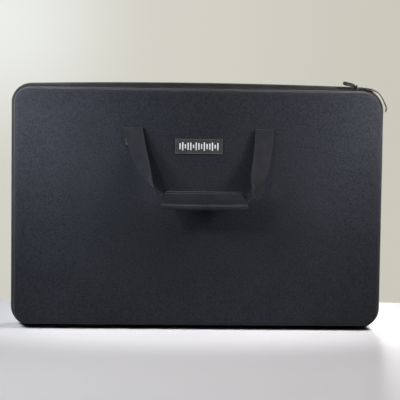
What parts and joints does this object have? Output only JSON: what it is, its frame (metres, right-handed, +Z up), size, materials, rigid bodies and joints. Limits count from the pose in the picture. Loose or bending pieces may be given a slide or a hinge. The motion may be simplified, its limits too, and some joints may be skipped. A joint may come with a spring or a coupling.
{
  "type": "dj controller case",
  "caption": "Moulded zip-round carrying case for a DJ controller, hinged lid, webbing handles with a grip wrap, foam-lined bay.",
  "frame": {"origin": "middle of the flat standing face on the hinge side, on the floor", "axes": "+X along the case to the right as seen from the lid, -Y out of the lid's face, +Z up"},
  "size_m": [0.7917, 0.2455, 0.5232],
  "materials": {
    "shell_fabric": "matte",
    "lining_fleece": "matte",
    "rim_binding": "matte",
    "zip_tape": "matte",
    "zip_teeth": "satin",
    "hinge_fabric": "matte",
    "webbing": "matte",
    "grip_fabric": "matte",
    "hook_and_loop": "matte",
    "foam": "matte",
    "stiffener": "matte",
    "badge_rubber": "satin",
    "badge_print": "satin",
    "slider_metal": "satin",
    "cord": "matte",
    "cord_end": "satin"
  },
  "bodies": {
    "base": {"base_shell": "shell_fabric", "base_lining": "lining_fleece", "base_rim_binding": "rim_binding", "base_zip_tape": "zip_tape", "base_zip_teeth": "zip_teeth", "base_hinge_fabric": "hinge_fabric", "base_handle_plates": "stiffener", "base_floor_pad": "foam", "top_foam_bolster": "foam", "bottom_foam_bolster": "foam", "left_foam_bolster": "foam", "right_foam_bolster": "foam", "zip_end_tabs": "hinge_fabric", "rear_handle_roots": "webbing"},
    "lid": {"lid_shell": "shell_fabric", "lid_lining": "lining_fleece", "lid_rim_binding": "rim_binding", "lid_zip_tape": "zip_tape", "lid_zip_teeth": "zip_teeth", "lid_hinge_fabric": "hinge_fabric", "lid_handle_plates": "stiffener", "lid_foam_pad": "foam", "badge_plate": "badge_rubber", "badge_bars": "badge_print", "front_handle_roots": "webbing"},
    "front_handle": {"front_handle_strap": "webbing", "grip_pad": "grip_fabric", "loop_strip": "hook_and_loop"},
    "flap": {"grip_flap": "grip_fabric", "hook_strip": "hook_and_loop"},
    "rear_handle": {"rear_handle_strap": "webbing"},
    "left_zip_slider": {"left_slider": "slider_metal"},
    "left_tab": {"left_pull_tab": "slider_metal"},
    "right_zip_slider": {"right_slider": "slider_metal"},
    "right_tab": {"right_pull_tab": "slider_metal", "cord_ferrule": "cord_end", "pull_cord": "cord"}
  },
  "joints": [
    {"name": "lid_hinge", "type": "hinge", "parent": "base", "child": "lid", "pos_m": [0, -0.04, 0.0006], "axis": [1, 0, 0], "range_deg": [0, 180]},
    {"name": "front_handle_swing", "type": "hinge", "parent": "lid", "child": "front_handle", "pos_m": [0, -0.0942, 0.421], "axis": [-1, 0, 0], "range_deg": [0, 150]},
    {"name": "grip_flap_opening", "type": "hinge", "parent": "front_handle", "child": "flap", "pos_m": [0.011, -0.10992, 0.28875], "axis": [1, 0, 0], "range_deg": [0, 65]},
    {"name": "rear_handle_swing", "type": "hinge", "parent": "base", "child": "rear_handle", "pos_m": [0, 0.0542, 0.421], "axis": [1, 0, 0], "range_deg": [0, 150]},
    {"name": "left_slider_travel", "type": "slide", "parent": "base", "child": "left_zip_slider", "axis": [1, 0, 0], "range_m": [-0.67, 0]},
    {"name": "left_tab_flip", "type": "hinge", "parent": "left_zip_slider", "child": "left_tab", "pos_m": [0.3329, -0.04954, 0.51515], "axis": [0, 0.7809, 0.6247], "range_deg": [0, 95]},
    {"name": "right_slider_turn", "type": "hinge", "parent": "base", "child": "right_zip_slider", "pos_m": [0.34215, -0.044, 0.46065], "axis": [0, 1, 0], "range_deg": [0, 30]},
    {"name": "right_tab_flip", "type": "hinge", "parent": "right_zip_slider", "child": "right_tab", "pos_m": [0.34555, -0.04623, 0.51101], "axis": [0, -0.7809, -0.6247], "range_deg": [0, 100]}
  ]
}
